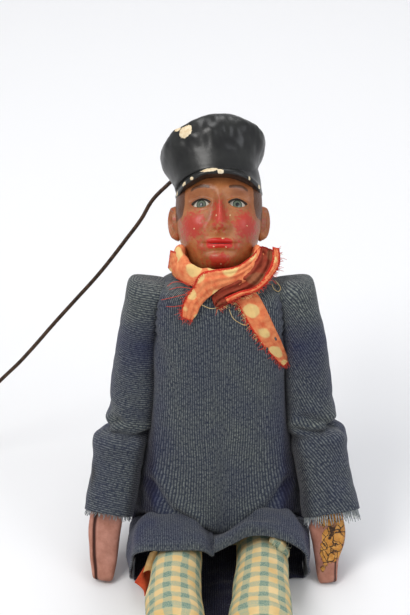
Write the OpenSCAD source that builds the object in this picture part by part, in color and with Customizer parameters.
// Rod marionette: a carved wooden puppet in a cloth smock, hung from one iron rod linked to its cap.
// Millimetres. It sits on the floor with its legs along -Y and leans back; the origin is on the floor
// under the hip pin.

/* [Trunk] */
// Width of the wooden trunk
trunk_w = 50; // [46:1:56]
// Depth of the wooden trunk
trunk_d = 34; // [31:1:38]
// Height of the trunk's top above the hip pin
trunk_top = 127; // [120:1:132]
// Height of the trunk's underside above the hip pin
trunk_bottom = 14; // [13:1:18]
// Chamfer along the trunk's carved edges
trunk_chamfer = 5; // [3:0.5:7]
// Width of the tongue between the thighs
hip_tongue_w = 15; // [12:1:18]

/* [Neck and head] */
// Diameter of the ball under the neck
neck_ball_d = 23; // [21:1:24]
// Diameter of the neck
neck_d = 17; // [15:1:18]
// Depth of the neck socket, from the trunk's top to the ball's centre
socket_depth = 4; // [3:0.5:5]
// Width of the skull
skull_w = 45; // [42:1:48]
// Height of the skull's centre above the neck ball's centre
skull_h = 50; // [47:1:53]
// Height of the chin above the neck ball's centre
chin_h = 7; // [5:0.5:9]
// Wire diameter of the neck pin
neck_pin_d = 2.5; // [2:0.1:3]
// Shank length of the neck swivel
neck_shank_l = 30; // [22:1:38]

/* [Cap] */
// Widest diameter of the cap's crown
crown_d = 53; // [50:1:56]
// Height of the cap's flat top above the neck ball's centre
crown_top = 87.5; // [84:0.5:90]
// Outer diameter of the cap's band
band_d = 48; // [46:0.5:49]
// Height of the band's lower edge above the neck ball's centre
band_low = 53; // [50:0.5:56]
// Thickness of the cap's peak
peak_t = 2.4; // [1.6:0.2:4]
// Reach of the peak in front of the band
peak_reach = 5; // [3:0.5:8]

/* [Rod] */
// Diameter of the iron rod
rod_d = 2.5; // [2:0.1:2.8]
// Straight length of the rod from its eye to the hanging hook
rod_l = 236; // [180:0.2:240]
// Diameter across the middle of the hanging hook's bend
hook_d = 16; // [12:1:22]
// Diameter across the middle of the wire in the rod's eye
rod_eye_d = 5.6; // [5.2:0.1:6]
// Diameter across the middle of the wire in the linking ring
ring_d = 9.6; // [9.2:0.1:11]
// Wire diameter of the linking ring
ring_wire = 1.4; // [1:0.1:1.6]
// Diameter across the middle of the wire in the crown eye
crown_eye_d = 5.2; // [4.8:0.1:5.4]
// Wire diameter of the crown eye
crown_eye_wire = 1.6; // [1.2:0.1:1.8]

/* [Arms] */
// Distance of each shoulder joint from the middle plane
shoulder_x = 39; // [38.5:0.5:42]
// Length from shoulder joint to elbow pin
upper_arm_l = 69; // [64:1:74]
// Diameter of the wooden upper arm
upper_arm_d = 12; // [10:0.5:13]
// Length from elbow pin to wrist
forearm_l = 42; // [38:1:46]
// Diameter of the wooden forearm
forearm_d = 11; // [10:0.5:12]
// Length of the hand
hand_l = 38.4; // [34:0.2:39]
// Width of the hand at the wrist
hand_w = 16.5; // [14:0.5:18]
// Thickness of the hand
hand_t = 8.5; // [7:0.5:10]
// Wire diameter of the shoulder and elbow pins
arm_pin_d = 2.2; // [1.8:0.1:2.4]

/* [Legs] */
// Distance of each leg from the middle plane
leg_x = 20.9; // [20:0.1:22]
// Length from hip pin to knee pin
thigh_l = 88; // [80:1:96]
// Diameter of the wooden thigh
thigh_d = 17; // [15:0.5:18]
// Length from knee pin to the sole of the clog
shin_l = 88; // [82:1:96]
// Diameter of the wooden shin
shin_d = 15; // [13:0.5:16]
// Wire diameter of the hip and knee pins
leg_pin_d = 3; // [2.4:0.1:3.4]
// Length of the wooden clog
clog_l = 46; // [42:1:52]

/* [Smock and trousers] */
// Width of the smock at the chest
smock_w = 62; // [60:1:62]
// Depth of the smock at the chest
smock_d = 42; // [40:1:46]
// Height of the smock's shoulders above the hip pin
smock_top = 130; // [130:0.5:131]
// Height of the smock's waist above the hip pin
smock_waist = 38; // [34:1:44]
// Thickness of the hanging cloth
cloth_t = 2; // [1.6:0.1:2.4]
// Width of the smock's hem where it meets the floor
hem_w = 90; // [84:1:92]
// Reach of the front hem over the lap, from the hip pin
hem_reach = 50; // [44:1:56]
// Reach of the back hem behind the hip pin
hem_back = 44; // [42:1:48]
// Diameter of the upper sleeve above the elbow
sleeve_d = 23.6; // [22:0.2:23.8]
// Diameter of the cuff
cuff_d = 24; // [21:0.5:24.5]
// Diameter of a trouser leg at the hip
trouser_top_d = 21.2; // [20:0.2:22]
// Diameter of a trouser leg at the knee
trouser_knee_d = 27.2; // [25:0.2:28]
// Diameter of a trouser leg at its hem
trouser_hem_d = 31; // [28:0.5:32]

/* [Neckerchief] */
// Thickness of the rolled neckerchief
roll_d = 5.8; // [4.6:0.2:6]
// Length of the shorter tail
short_tail_l = 17; // [12:1:24]
// Length of the longer tail
long_tail_l = 41; // [32:1:50]

/* [Hidden] */

// Running gap round a pin, and gap between pieces that pass or lie on each other
pin_gap = 0.05;
gap = 0.3;
// Pose at rest: how far each piece leans, tilts, swings or bends, in degrees
torso_lean = 12.5;
head_tilt = 34;
lap_h = 34.2;
lap_run = 14;
low_fold_h = 12;
back_mid_h = 37;
back_flare = 5;
seat_inset = 9;
arm_swing = 11;
arm_splay = 6.5;
elbow_bend = 23;
forearm_splay = 2.5;
rod_azimuth = 57.5;
rod_drop = 128.7;
crown_tilt = 8;

hip_z = trouser_hem_d / 2 + 0.5;
neck_h = trunk_top - socket_depth;
shoulder_h = neck_h;
shoulder_r = shoulder_x - smock_w / 2 - gap;
skull_r = skull_w / 2;
eye_at = [0, 17, crown_top + 4];
hip_r = 10;
hip_tongue_r = 9;
knee_r = 7;
elbow_r = 5.5;
cheek_r = 11;
elbow_cut = 42.5;
eye_w = 4.4;
arm_eye_w = 3.4;
arm_tongue_w = 5;
leg_tongue_w = 6;
recess_r = neck_ball_d / 2 + 2.1;
shank_in = recess_r + 1;
arm_eye_r = arm_pin_d / 2 + 2;
neck_eye_r = neck_pin_d / 2 + 2.6;
fine = 96;

function torso_point(p) = [p.x, p.y * cos(torso_lean) + p.z * sin(torso_lean),
    hip_z + p.z * cos(torso_lean) - p.y * sin(torso_lean)];
function power(x, e) = sign(x) * pow(abs(x), e);
// Outline of a rectangle with arcs at its corners
function rounded_outline(w, d, r) = [for (q = [0:3], i = [0:5])
    let (a = q * 90 + i * 18, sx = (q == 0 || q == 3) ? 1 : -1, sy = q < 2 ? 1 : -1)
    [sx * (w / 2 - r) + r * cos(a), sy * (d / 2 - r) + r * sin(a)]];
// Smooth value through a list of values, for a share t of the way along it
function along(values, t) = let (n = len(values) - 1, k = min(floor(t * n), n - 1), f = t * n - k,
    a = values[max(k - 1, 0)], b = values[k], c = values[k + 1], d = values[min(k + 2, n)])
    0.5 * (2 * b + (c - a) * f + (2 * a - 5 * b + 4 * c - d) * f * f + (3 * b - a - 3 * c + d) * f * f * f);

module torso_place() { translate([0, 0, hip_z]) rotate([-torso_lean, 0, 0]) children(); }
module head_place() { torso_place() translate([0, 0, neck_h]) rotate([-head_tilt, 0, 0]) children(); }
module crown_place() { head_place() translate([-1, -1.5, crown_top - 17.5]) rotate([-crown_tilt, 0, 0])
    children(); }
module rod_place() {
    head_place() translate(eye_at) rotate([0, 0, rod_azimuth]) rotate([-rod_drop, 0, 0]) children();
}
// side is 1 for the puppet's left, at +X, and -1 for its right
module sided(side) { mirror([side < 0 ? 1 : 0, 0, 0]) children(); }
module shoulder_place(side) {
    sided(side) torso_place() translate([shoulder_x, -1, shoulder_h])
        rotate([torso_lean - arm_swing, 0, 0]) children();
}
module arm_place(side) { shoulder_place(side) rotate([0, -arm_splay, 0]) children(); }
module elbow_place(side) {
    arm_place(side) translate([0, 0, -upper_arm_l]) rotate([-elbow_bend, 0, 0]) children();
}
module forearm_place(side) { elbow_place(side) rotate([0, -forearm_splay, 0]) children(); }
module leg_place(side) { sided(side) translate([leg_x, 0, hip_z]) children(); }
module shin_place(side) { leg_place(side) translate([0, -thigh_l, 0]) children(); }
module across(r, l, sides = fine) { rotate([0, 90, 0]) cylinder(r = r, h = l, center = true, $fn = sides); }
module along_y(r, l) { rotate([90, 0, 0]) cylinder(r = r, h = l, center = true, $fn = fine); }
// A tube along -Y between two distances from the joint, from a list of [distance, radius] pairs
module leg_tube(profile, inner_r) {
    rotate([90, 0, 0]) rotate_extrude($fn = fine)
        polygon([[inner_r, profile[0][0]], for (p = profile) [p[1], p[0]],
            [inner_r, profile[len(profile) - 1][0]]]);
}
module arm_tube(profile, inner_r) { rotate([90, 0, 0]) leg_tube(profile, inner_r); }
module torus(d, wire) { rotate_extrude($fn = fine) translate([d / 2, 0]) circle(d = wire, $fn = 24); }

// A closed sheet between an outer and an inner grid of points, both as rows of equal length
module cloth(outer, inner) {
    rows = len(outer);
    cols = len(outer[0]);
    n = rows * cols;
    at = function(i, j) i * cols + j;
    faces = [
        for (i = [0:rows - 2], j = [0:cols - 2]) each [
            [at(i, j), at(i, j + 1), at(i + 1, j + 1)], [at(i, j), at(i + 1, j + 1), at(i + 1, j)],
            [n + at(i, j), n + at(i + 1, j + 1), n + at(i, j + 1)], [n + at(i, j), n + at(i + 1, j),
                n + at(i + 1, j + 1)]],
        for (i = [0:rows - 2]) each [
            [at(i, 0), at(i + 1, 0), n + at(i + 1, 0)], [at(i, 0), n + at(i + 1, 0), n + at(i, 0)],
            [at(i + 1, cols - 1), at(i, cols - 1), n + at(i, cols - 1)],
            [at(i + 1, cols - 1), n + at(i, cols - 1), n + at(i + 1, cols - 1)]],
        for (j = [0:cols - 2]) each [
            [at(0, j + 1), at(0, j), n + at(0, j)], [at(0, j + 1), n + at(0, j), n + at(0, j + 1)],
            [at(rows - 1, j), at(rows - 1, j + 1), n + at(rows - 1, j + 1)],
            [at(rows - 1, j), n + at(rows - 1, j + 1), n + at(rows - 1, j)]]];
    polyhedron(points = [for (row = outer) each row, for (row = inner) each row], faces = faces);
}

module trunk() {
    color("burlywood") torso_place() difference() {
        union() {
            translate([0, 0, trunk_bottom]) linear_extrude(trunk_top - trunk_bottom) polygon([
                for (s = [[1, 1], [-1, 1], [-1, -1], [1, -1]], i = [0, 1])
                let (first = (s.x * s.y > 0) == (i == 0))
                [s.x * (trunk_w / 2 - (first ? 0 : trunk_chamfer)),
                    s.y * (trunk_d / 2 - (first ? trunk_chamfer : 0))]]);
            across(hip_tongue_r, hip_tongue_w);
            translate([-hip_tongue_w / 2, -hip_tongue_r + 1, 0])
                cube([hip_tongue_w, 2 * hip_tongue_r - 2, trunk_bottom + 1]);
        }
        translate([0, 0, neck_h]) sphere(d = neck_ball_d + 2 * gap, $fn = fine);
        translate([0, 0, neck_h]) cylinder(r = recess_r, h = socket_depth + 1, $fn = fine);
        translate([0, 0, neck_h - neck_ball_d / 2 - neck_shank_l])
            cylinder(d = neck_pin_d + 2 * pin_gap, h = neck_shank_l, $fn = fine);
        for (side = [-1, 1]) sided(side) translate([shank_in - gap, -1, shoulder_h]) rotate([0, 90, 0])
            cylinder(d = arm_pin_d + 2 * pin_gap, h = trunk_w, $fn = fine);
        across(leg_pin_d / 2 + pin_gap, hip_tongue_w + 2);
    }
}
module hip_pin() { color("dimgray") translate([0, 0, hip_z]) across(leg_pin_d / 2, 2 * leg_x + 18); }

module neck_swivel() {
    color("dimgray") torso_place() translate([0, 0, neck_h]) difference() {
        union() {
            across(neck_eye_r, eye_w);
            translate([0, 0, -neck_ball_d / 2 - neck_shank_l + gap])
                cylinder(d = neck_pin_d, h = neck_ball_d / 2 + neck_shank_l - neck_pin_d, $fn = fine);
        }
        across(neck_pin_d / 2 + pin_gap, eye_w + 1);
    }
}
module neck_pin() { color("dimgray") head_place() across(neck_pin_d / 2, neck_ball_d - 5); }

module head() {
    color("peru") head_place() difference() {
        union() {
            sphere(d = neck_ball_d, $fn = fine);
            cylinder(d = neck_d, h = skull_h - 8, $fn = fine);
            hull() {
                translate([0, 3, skull_h]) sphere(r = skull_r, $fn = 32);
                translate([0, -10.5, chin_h + 11]) sphere(r = 11, $fn = 32);
                for (side = [-1, 1]) translate([side * (skull_r - 14), -8, chin_h + 25]) sphere(r = 12,
                    $fn = 32);
            }
            for (side = [-1, 1]) translate([side * skull_r, 2, skull_h - 14]) rotate([0, 90, 0])
                cylinder(r = 6, h = 5, center = true, $fn = 32);
        }
        translate([-eye_w / 2 - gap, -neck_ball_d, -neck_ball_d])
            cube([eye_w + 2 * gap, 2 * neck_ball_d, neck_ball_d + neck_eye_r + 2 * gap]);
        across(neck_pin_d / 2 + pin_gap, neck_ball_d + 2);
        // The flat under the cap's crown
        translate([-skull_w, -skull_w, band_low + 9]) cube([2 * skull_w, 2 * skull_w, skull_w]);
        translate([0, eye_at.y, band_low]) cylinder(d = crown_eye_wire + 2 * pin_gap, h = 20, $fn = fine);
    }
}
module cap() {
    crown_r = crown_d / 2;
    flat_r = 9;
    rise = 17.5;
    color("black") difference() {
        union() {
            crown_place() rotate_extrude($fn = fine) polygon([[0, band_low + 9.3 - crown_top + rise],
                [band_d / 2 - 1, band_low + 9.3 - crown_top + rise], [crown_r - 0.6, -3],
                for (i = [0:8]) [flat_r + (crown_r - flat_r) * cos(i * 11.25), rise * sin(i * 11.25)],
                    [0, rise]]);
            head_place() translate([0, 0.5, band_low]) cylinder(d = band_d, h = 14, $fn = fine);
            head_place() translate([0, -peak_reach, band_low]) cylinder(d = band_d - 1, h = peak_t,
                $fn = fine);
        }
        // The hollow that takes the head's top
        head_place() translate([0, 3, band_low - 1]) cylinder(r = skull_r + gap, h = 10.3, $fn = fine);
        head_place() translate([0, eye_at.y, band_low]) cylinder(d = crown_eye_wire + 2 * pin_gap,
            h = 60, $fn = fine);
    }
}
module crown_eye() {
    color("dimgray") head_place() translate(eye_at) {
        rotate([0, 0, rod_azimuth]) rotate([0, 90, 0]) torus(crown_eye_d, crown_eye_wire);
        translate([0, 0, band_low + 2 - eye_at.z])
            cylinder(d = crown_eye_wire, h = eye_at.z - band_low - 2 - crown_eye_d / 2, $fn = fine);
    }
}
module rod_ring() { color("dimgray") rod_place() translate([0, 0, ring_d / 2]) rotate([90, 0, 0])
    torus(ring_d, ring_wire); }
module head_rod() {
    color("saddlebrown") rod_place() translate([0, 0, ring_d]) {
        rotate([0, 90, 0]) torus(rod_eye_d, rod_d);
        translate([0, 0, rod_eye_d / 2]) cylinder(d = rod_d, h = rod_l, $fn = fine);
        // The hanging hook, bent round from the end of the rod
        translate([-hook_d / 2, 0, rod_l + rod_eye_d / 2]) rotate([-90, 0, 0]) {
            rotate([0, 0, -180]) rotate_extrude(angle = 180, $fn = fine)
                translate([hook_d / 2, 0]) circle(d = rod_d, $fn = 24);
            translate([-hook_d / 2, 0, 0]) rotate([-90, 0, 0]) cylinder(d = rod_d, h = hook_d / 2,
                $fn = fine);
        }
    }
}

module shoulder_swivel(side) {
    reach = shoulder_x - shank_in;
    color("dimgray") sided(side) torso_place() translate([shoulder_x, -1, shoulder_h]) difference() {
        union() {
            translate([-reach, 0, 0]) rotate([0, 90, 0]) cylinder(d = arm_pin_d, h = reach - arm_pin_d,
                $fn = fine);
            rotate([torso_lean - arm_swing, 0, 0]) along_y(arm_eye_r, arm_eye_w);
        }
        rotate([torso_lean - arm_swing, 0, 0]) along_y(arm_pin_d / 2 + pin_gap, arm_eye_w + 1);
    }
}
module shoulder_pin(side) { color("dimgray") arm_place(side) along_y(arm_pin_d / 2, 10.6); }
module upper_arm(side) {
    color("burlywood") arm_place(side) difference() {
        union() {
            sphere(d = upper_arm_d, $fn = fine);
            translate([0, 0, -upper_arm_l + elbow_r + 1.2])
                cylinder(d = upper_arm_d, h = upper_arm_l - elbow_r - 1.2, $fn = fine);
            translate([0, 0, -upper_arm_l]) across(elbow_r - 0.5, arm_tongue_w);
            translate([-arm_tongue_w / 2, -elbow_r + 1, -upper_arm_l])
                cube([arm_tongue_w, 2 * elbow_r - 2, elbow_r + 3]);
        }
        // The fork round the swivel's eye
        translate([-upper_arm_d, -arm_eye_w / 2 - gap, -arm_eye_r - 2 * gap])
            cube([upper_arm_d + arm_eye_r + 2 * gap, arm_eye_w + 2 * gap, upper_arm_d]);
        along_y(arm_pin_d / 2 + pin_gap, upper_arm_d + 2);
        translate([0, 0, -upper_arm_l]) across(arm_pin_d / 2 + pin_gap, arm_tongue_w + 2);
    }
}
module elbow_pin(side) { color("dimgray") arm_place(side) translate([0, 0, -upper_arm_l])
    across(arm_pin_d / 2, forearm_d - 2); }
module forearm(side) {
    taper = 0.64;
    color("rosybrown") difference() {
        union() {
            forearm_place(side) {
                translate([0, 0, -forearm_l]) cylinder(d = forearm_d, h = forearm_l, $fn = fine);
                // The hand: a flat tapered block with a cut between thumb and fingers
                intersection() {
                    translate([0, hand_t / 2, -forearm_l]) rotate([90, 0, 0]) linear_extrude(hand_t)
                        polygon([
                        [-hand_w / 2, 2], [hand_w / 2, 2], [hand_w / 2 - 0.6, -hand_l * 0.4],
                        [hand_w / 2 * taper, -hand_l + 2], [hand_w / 2 * taper - 2, -hand_l],
                        [-hand_w / 2 * taper + 1, -hand_l], [-hand_w / 2 * taper, -hand_l + 1],
                        [-hand_w / 2, -hand_l * 0.3]]);
                    translate([0, 0, -forearm_l - hand_l]) cylinder(d = hand_w + 2, h = hand_l + 6,
                        $fn = fine);
                }
            }
            arm_place(side) translate([0, 0, -upper_arm_l]) across(elbow_r, forearm_d - 3);
        }
        arm_place(side) translate([0, 0, -upper_arm_l]) {
            rotate([-elbow_bend, 0, 0])
                translate([-arm_tongue_w / 2 - gap, -forearm_d, -elbow_r - gap])
                cube([arm_tongue_w + 2 * gap, 2 * forearm_d, 2 * elbow_r + 2]);
            across(arm_pin_d / 2 + pin_gap, forearm_d + 2);
        }
        forearm_place(side) translate([-hand_w / 2 + 3.2, -hand_t, -forearm_l - hand_l - 1])
            cube([1.2, hand_t, hand_l - 4]);
    }
}
// A closed soft form down the arm, from rows of [distance down, offset outwards, half width, half depth]
module arm_form(rows) {
    cols = 24;
    last = len(rows) - 1;
    at = function(i, j) i * cols + j % cols;
    polyhedron(
        points = [for (r = rows, j = [0:cols - 1]) [r[1] + r[2] * cos(15 * j), r[3] * sin(15 * j), -r[0]]],
        faces = [
            for (i = [0:last - 1], j = [0:cols - 1]) each [
                [at(i, j), at(i, j + 1), at(i + 1, j + 1)], [at(i, j), at(i + 1, j + 1), at(i + 1, j)]],
            [for (j = [0:cols - 1]) at(0, cols - 1 - j)],
            [for (j = [0:cols - 1]) at(last, j)]]);
}
// What is cut off below the elbow: a level cut behind it, and a slanting one in front where the arm bends
module below_elbow() {
    rotate([90, 0, 90]) linear_extrude(80, center = true) polygon([[60, gap / 2], [0, gap / 2],
        [-60 * sin(elbow_cut), gap / 2 + 60 * cos(elbow_cut)], [-80, 0], [-80, -60], [60, -60]]);
}
module sleeve_upper(side) {
    w = sleeve_d / 2;
    color("darkslateblue") arm_place(side) difference() {
        union() {
            difference() {
                arm_form([[-7.2, 1.6, 3, 4], [-6.4, 1.6, 5, 8], [-4, 1.2, 7.2, 11.2], [0, 0.7, 8.2, 12.6],
                    [6, 0.2, 8.6, 13.2], [16, -0.2, 9.2, 13.6], [30, -0.3, w - 1.4, 13.4],
                    [44, -0.6, w - 0.9, 13], [56, -1.2, w - 0.6, 12.8], [upper_arm_l, -1.5, w - 0.6, 12.8],
                    [upper_arm_l + 13, -1.2, w - 0.5, 12.8]]);
                translate([0, 0, -upper_arm_l]) below_elbow();
            }
            // Round cheeks beside the elbow, which the lower sleeve turns on
            translate([7.9, 0, -upper_arm_l]) across(cheek_r, 2.8, 48);
            translate([-8.9, 0, -upper_arm_l]) across(cheek_r, 4.8, 48);
        }
        translate([0, 0, -upper_arm_l - 1]) cylinder(d = upper_arm_d + 2 * gap, h = upper_arm_l + 1,
            $fn = 32);
        sphere(d = upper_arm_d + 2 * gap + 0.1, $fn = 32);
        translate([0, 0, -upper_arm_l]) across(elbow_r + gap, forearm_d + 2 * gap, 48);
        translate([-upper_arm_d, -arm_eye_w / 2 - 2 * gap, -arm_eye_r - 2 * gap])
            cube([upper_arm_d + arm_eye_r, arm_eye_w + 4 * gap, 2 * upper_arm_d]);
    }
}
module sleeve_lower(side) {
    w = cuff_d / 2;
    color("darkslateblue") difference() {
        forearm_place(side) difference() {
            arm_form([[-13, -0.4, w - 0.2, 12.6], [0, 0, w - 0.1, 12.6], [8, 1.2, w, 12.7],
                [18, 1.9, w + 0.5, 12.7], [28, 2.1, w + 0.4, 12], [38, 2.4, w + 0.4, 11.3],
                [forearm_l + 6, 2.5, w + 0.7, 10.6]]);
            translate([0, 0, -forearm_l]) cylinder(d = forearm_d + 2 * gap, h = forearm_l + 20, $fn = 32);
            translate([0, 0, -forearm_l - 8]) linear_extrude(10.5)
                polygon(rounded_outline(hand_w + 4 * gap, hand_t + 4 * gap, 2));
        }
        elbow_place(side) {
            mirror([0, 0, 1]) below_elbow();
            translate([7.9, 0, 0]) across(cheek_r + gap, 2.8 + 2 * gap, 48);
            translate([-13.2, 0, 0]) across(cheek_r + gap, 14, 48);
            translate([-7, -6.8, -cheek_r - gap]) cube([14, 13.6, 30]);
        }
    }
}

module thigh(side) {
    color("burlywood") leg_place(side) difference() {
        union() {
            across(hip_r, thigh_d - 1);
            translate([0, -(thigh_l - knee_r - 1) / 2, 0]) along_y(thigh_d / 2, thigh_l - knee_r - 1);
            translate([0, -thigh_l, 0]) across(knee_r - 0.5, leg_tongue_w);
            translate([-leg_tongue_w / 2, -thigh_l, -knee_r + 1]) cube([leg_tongue_w, knee_r + 4,
                2 * knee_r - 2]);
        }
        across(leg_pin_d / 2 + pin_gap, thigh_d + 4);
        translate([0, -thigh_l, 0]) across(leg_pin_d / 2 + pin_gap, leg_tongue_w + 2);
        // The inner cheek, cut clear of the tongue on the trunk
        translate([-leg_x, 0, 0]) cube([hip_tongue_w + 2 * gap, 4 * hip_r, 4 * hip_r], center = true);
    }
}
module knee_pin(side) { color("dimgray") shin_place(side) across(leg_pin_d / 2, shin_d - 2); }
module shin(side) {
    ankle = shin_l - 14;
    color("burlywood") shin_place(side) difference() {
        union() {
            across(knee_r, shin_d - 3);
            translate([0, -ankle / 2 - 0.5, 0]) along_y(shin_d / 2, ankle - 1);
        }
        translate([-leg_tongue_w / 2 - gap, -knee_r - gap, -shin_d]) cube([leg_tongue_w + 2 * gap,
            3 * knee_r, 2 * shin_d]);
        across(leg_pin_d / 2 + pin_gap, shin_d + 2);
    }
}
module clog(side) {
    sole = -shin_l;
    heel_z = -hip_z + 0.1;
    color("sienna") shin_place(side) difference() {
        hull() {
            translate([0, sole + 9, heel_z + 9.6]) sphere(r = 9.5, $fn = 32);
            translate([0, sole + 17, heel_z + 13]) sphere(r = 10.5, $fn = 32);
            translate([0, sole + 8, heel_z + clog_l * 0.62]) sphere(r = 10, $fn = 32);
            translate([0, sole + 7, heel_z + clog_l - 7]) sphere(r = 5, $fn = 32);
            translate([0, sole + 3.6, heel_z + 9]) along_y(8, 6);
        }
        translate([-clog_l, sole - clog_l, -clog_l]) cube([2 * clog_l, clog_l, 3 * clog_l]);
        translate([-clog_l, sole - 1, heel_z - clog_l]) cube([2 * clog_l, clog_l, clog_l]);
        translate([0, sole + 14 + clog_l / 2 - gap, 0]) along_y(shin_d / 2 + gap, clog_l);
    }
}

module smock_chest() {
    h = smock_top - smock_waist;
    color("darkslateblue") torso_place() difference() {
        intersection() {
            translate([0, 0, smock_waist]) linear_extrude(h) polygon(rounded_outline(smock_w, smock_d, 11));
            translate([0, smock_d, smock_waist + h / 2]) rotate([90, 0, 0]) linear_extrude(2 * smock_d)
                polygon(rounded_outline(smock_w + 0.1, h + 0.1, 5));
        }
        translate([0, 0, smock_waist - 1]) linear_extrude(trunk_top + gap - smock_waist + 1)
            polygon(rounded_outline(trunk_w + 2 * gap, trunk_d + 2 * gap, 3));
        translate([0, 0, trunk_top]) cylinder(r = recess_r + 3, h = 20, $fn = fine);
        translate([0, -1, shoulder_h]) across(arm_pin_d / 2 + 2 * gap, 2 * smock_w);
        // The waist is open below the trunk's sides
        translate([-smock_w, -smock_d, smock_waist - 1]) cube([2 * smock_w, 2 * smock_d, 1]);
    }
}

// One curve of the skirt: half width, then y and z at its side, then y and z at its middle
function skirt_point(c, a, bulge) = [c[0] * power(sin(a), bulge), c[1] + (c[3] - c[1]) * power(cos(a),
    bulge),
    c[2] + (c[4] - c[2]) * power(cos(a), bulge)];
function skirt_grid(curves, rows, cols, bulge, fold_y, fold_z, side_y) = [for (i = [0:rows])
    let (t = i / rows, c = along(curves, t)) [for (j = [0:cols])
    let (u = 1 - 2 * j / cols, p = skirt_point(c, 90 * u, bulge)) p + [0, side_y, 0]
        + t * (1 - u * u) * [0, fold_y * cos(900 * u), fold_z * t * cos(720 * u)]]];
waist_side = torso_point([smock_w / 2, 0, smock_waist - 2 * gap]);
waist_front = torso_point([0, -smock_d / 2 + 0.4, smock_waist - 2 * gap]);
waist_back = torso_point([0, smock_d / 2 - 0.4, smock_waist - 2 * gap]);
function skirt_curves(front, t) = let (w = hem_w / 2 - t, s = front ? t : -t) [
    [smock_w / 2 - t, waist_side.y, waist_side.z, (front ? waist_front.y : waist_back.y) + s,
        front ? waist_front.z : waist_back.z],
    [smock_w / 2 + 2.5 - t, 6, 41, (front ? -smock_d / 2 - 1 : smock_d / 2 + 9) + s,
        front ? 47 : back_mid_h],
    [smock_w / 2 + 5 - t, 3, 28, (front ? -smock_d / 2 + 2 : smock_d / 2 + 13) + s,
        front ? 37 - t * 0.7 : 25],
    [w - 4, -12, low_fold_h, front ? -hem_reach + lap_run : hem_back - back_flare + s,
        front ? lap_h - t : low_fold_h],
    [w, -30, 0.5, front ? -hem_reach : hem_back + s, front ? lap_h - 2 - t : 0.5]];
module smock_skirt_front() {
    color("darkslateblue") cloth(skirt_grid(skirt_curves(true, 0), 14, 36, 0.55, 0.5, 0.7, -gap),
        skirt_grid(skirt_curves(true, cloth_t), 14, 36, 0.55, 0.5, 0.7, -gap));
}
module smock_skirt_back() {
    color("darkslateblue") mirror([1, 0, 0]) cloth(skirt_grid(skirt_curves(false, 0), 12, 36, 0.6, 1, 0,
        gap),
        skirt_grid(skirt_curves(false, cloth_t), 12, 36, 0.6, 1, 0, gap));
}

module trousers_seat() {
    back = hem_back - seat_inset;
    keel_w = hip_tongue_w - 2 * gap;
    color("wheat") union() {
        rotate([90, 0, 90]) linear_extrude(keel_w, center = true) polygon([[-13, 0], [16, 0], [16, 6],
            [12, hip_z - hip_tongue_r - gap], [-13, hip_z - hip_tongue_r - gap]]);
        rotate([90, 0, 90]) linear_extrude(2 * leg_x + 12, center = true) polygon([[15.6, 0], [back - 3, 0],
            [back, 3], [back - 4, 16], [back - 11, hip_z + 7.5], [20, hip_z + 9], [15.6, hip_z + 8]]);
    }
}
module trouser_thigh(side) {
    end = thigh_l - 11;
    color("wheat") leg_place(side) leg_tube([[10.8, trouser_top_d / 2], [50, trouser_top_d / 2 + 0.9],
        [end - 6, trouser_knee_d / 2 - 0.4], [end - 3, trouser_knee_d / 2 - 0.8], [end,
            trouser_knee_d / 2 - 3.4]],
        thigh_d / 2 + gap);
}
module trouser_shin(side) {
    color("wheat") shin_place(side) leg_tube([[9.5, trouser_knee_d / 2 - 3.4], [16,
        trouser_knee_d / 2 + 0.2],
        [40, trouser_hem_d / 2 - 1], [shin_l - 26.6, trouser_hem_d / 2]], shin_d / 2 + gap);
}

roll_r = recess_r + 7.7;
roll_z = smock_top + roll_d / 2 + gap;
knot_y = -roll_r - 3.4;
module neckerchief_roll() {
    color("coral") torso_place() translate([0, 0, roll_z])
        rotate([0, 0, -82]) rotate_extrude(angle = 320, $fn = fine)
        translate([roll_r, 0]) circle(d = roll_d, $fn = 24);
}
module neckerchief_knot() {
    color("coral") torso_place() translate([-5.2, knot_y, roll_z - 0.6]) hull() {
        translate([-3, 0, 1.5]) sphere(r = 3.4, $fn = 24);
        translate([3, -0.8, 0]) sphere(r = 3.8, $fn = 24);
        translate([-1, -1, -3]) sphere(r = 3, $fn = 24);
    }
}
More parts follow.
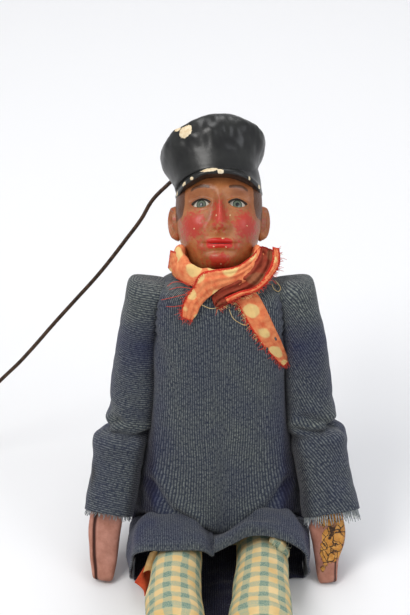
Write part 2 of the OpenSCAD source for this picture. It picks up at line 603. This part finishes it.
// One hanging tail: from its top middle to its tip, with fold ridges that run down it
function tail_grid(top, tip, w_top, w_tip, folds, lift) = [for (i = [0:12]) let (t = i / 12,
    mid = top + (tip - top) * t, w = w_top + (w_tip - w_top) * t) [for (j = [0:12]) let (u = j / 12 - 0.5)
    mid + [w * u, -lift - 1.2 * (1 - t * 0.5) * pow(sin(folds * 180 * (u + 0.5)), 2), 0]]];
function tail_back(top, tip, w_top, w_tip) = [for (i = [0:12]) let (t = i / 12,
    mid = top + (tip - top) * t, w = w_top + (w_tip - w_top) * t) [for (j = [0:12])
    mid + [w * (j / 12 - 0.5), 0, 0]]];
module tail(top, tip, w_top, w_tip, folds) {
    cloth(tail_grid(top, tip, w_top, w_tip, folds, cloth_t), tail_back(top, tip, w_top, w_tip));
}
module neckerchief_tails() {
    lie_y = -smock_d / 2 - gap;
    top_z = smock_top - 3.5;
    color("coral") torso_place() {
        tail([-9, lie_y, top_z], [-14.5, lie_y, top_z - short_tail_l + 6], 11, 8, 2);
        tail([8, lie_y, top_z], [31 - 3.5, lie_y, top_z - long_tail_l + 6], 12, 7, 2);
    }
}
module handkerchief() {
    x = -hem_w / 2 + 8.4;
    color("orangered") cloth(
        [for (i = [0:8]) let (t = i / 8) [for (j = [0:6]) let (u = j / 6)
            [x - 4 + (5 + t) * u + t, -38 - 20 * t - u, 3 + (15 - 6 * t) * (1 - u * t)
                + 1.2 * sin(360 * u)]]],
        [for (i = [0:8]) let (t = i / 8) [for (j = [0:6]) let (u = j / 6)
            [x - 4 + (5 + t) * u + t, -38 - 20 * t - u + 0.6, 1.4 + (15 - 6 * t) * (1 - u * t)
                + 1.2 * sin(360 * u)]]]);
}

trunk();
hip_pin();
neck_swivel();
neck_pin();
head();
cap();
crown_eye();
rod_ring();
head_rod();
shoulder_swivel(-1);  // shoulder_swivel_right
shoulder_swivel(1);  // shoulder_swivel_left
shoulder_pin(-1);  // shoulder_pin_right
shoulder_pin(1);  // shoulder_pin_left
upper_arm(-1);  // upper_arm_right
upper_arm(1);  // upper_arm_left
elbow_pin(-1);  // elbow_pin_right
elbow_pin(1);  // elbow_pin_left
forearm(-1);  // forearm_right
forearm(1);  // forearm_left
thigh(-1);  // thigh_right
thigh(1);  // thigh_left
knee_pin(-1);  // knee_pin_right
knee_pin(1);  // knee_pin_left
shin(-1);  // shin_right
shin(1);  // shin_left
clog(-1);  // clog_right
clog(1);  // clog_left
smock_chest();
smock_skirt_front();
smock_skirt_back();
sleeve_upper(-1);  // sleeve_upper_right
sleeve_upper(1);  // sleeve_upper_left
sleeve_lower(-1);  // sleeve_lower_right
sleeve_lower(1);  // sleeve_lower_left
trousers_seat();
trouser_thigh(-1);  // trouser_thigh_right
trouser_thigh(1);  // trouser_thigh_left
trouser_shin(-1);  // trouser_shin_right
trouser_shin(1);  // trouser_shin_left
neckerchief_roll();
neckerchief_knot();
neckerchief_tails();
handkerchief();
